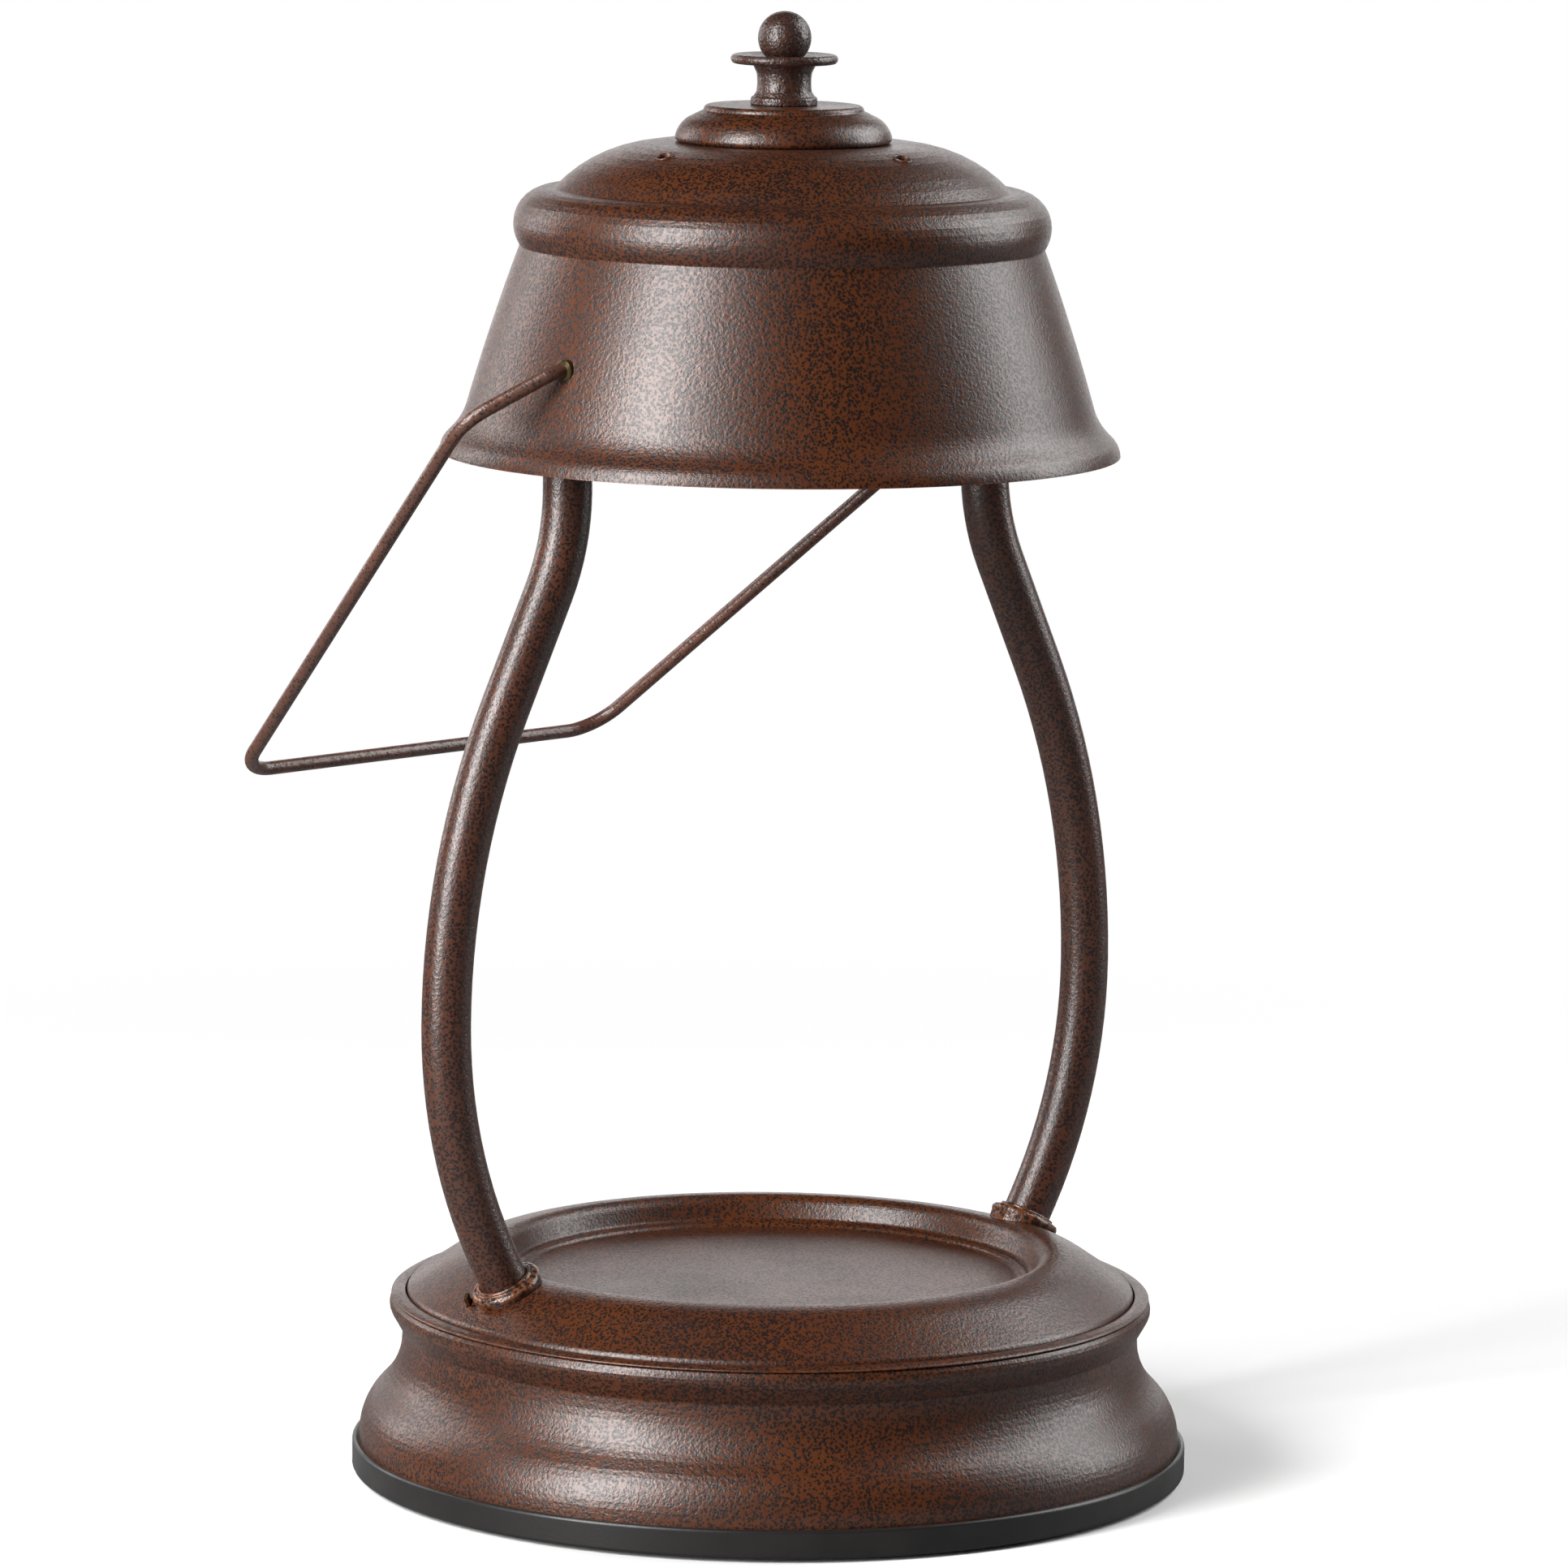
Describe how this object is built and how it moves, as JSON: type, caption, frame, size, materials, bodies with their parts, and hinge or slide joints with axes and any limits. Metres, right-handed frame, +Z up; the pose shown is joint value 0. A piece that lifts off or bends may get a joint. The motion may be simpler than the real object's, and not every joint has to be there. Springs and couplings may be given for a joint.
{
  "type": "candle warmer lamp",
  "caption": "Bell-shaded warming lamp on two bowed tube posts over a round dished base, with a swinging wire bail and a ball finial.",
  "frame": {"origin": "centre of the base pad's underside, on the lamp's axis", "axes": "+Z up the lamp's axis, +X along the line of the posts toward the one that carries the leads, +Y to the back where the cord inlet is"},
  "size_m": [0.19, 0.2212, 0.332],
  "materials": {
    "bronze_coat": "speckled powder coat",
    "post_coat": "speckled powder coat",
    "finial_coat": "cast, dark bronze coat",
    "black_moulding": "satin",
    "pad_rubber": "matte foam rubber",
    "grommet_rubber": "satin",
    "plated_steel": "zinc plated",
    "eyelet_brass": "aged",
    "holder_ceramic": "unglazed",
    "bulb_ceramic": "satin",
    "pin_metal": "nickel plated",
    "reflector_glass": "aluminised, dimpled",
    "bulb_glass": "clear",
    "lead_brown": "smooth insulation",
    "lead_blue": "smooth insulation",
    "cap_plastic": "natural"
  },
  "bodies": {
    "lamp": {"base_pad": "pad_rubber", "bottom_cover": "black_moulding", "cover_screws": "plated_steel", "tray_pillars": "plated_steel", "base_skirt": "bronze_coat", "base_top": "bronze_coat", "cord_grommet": "grommet_rubber", "splice_caps": "cap_plastic", "lead_live": "lead_brown", "lead_neutral": "lead_blue", "post_left": "post_coat", "post_right": "post_coat", "foot_collar_left": "post_coat", "foot_collar_right": "post_coat", "foot_saddles": "plated_steel", "lock_plates": "eyelet_brass", "foot_nuts": "plated_steel", "yoke": "plated_steel", "head_nuts": "plated_steel", "lampholder": "holder_ceramic", "holder_screws": "plated_steel", "lead_bush": "grommet_rubber", "centre_bolt": "plated_steel", "stack_washer": "plated_steel", "stack_nut": "plated_steel", "shade": "bronze_coat", "pivot_eyelets": "eyelet_brass", "top_cap": "bronze_coat", "finial": "finial_coat"},
    "bail": {"bail": "post_coat"},
    "bulb": {"bulb_base": "bulb_ceramic", "bulb_pins": "pin_metal", "bulb_reflector": "reflector_glass", "bulb_capsule": "bulb_glass", "bulb_lens": "bulb_glass"}
  },
  "joints": [
    {"name": "bail_swing", "type": "hinge", "parent": "lamp", "child": "bail", "pos_m": [0, 0, 0.2554], "axis": [0.9848, 0.1736, 0], "range_deg": [-32.5, 294.5]},
    {"name": "bulb_twist", "type": "hinge", "parent": "lamp", "child": "bulb", "pos_m": [0, 0, 0.2796], "axis": [0, 0, 1], "range_deg": [0, 20]}
  ]
}
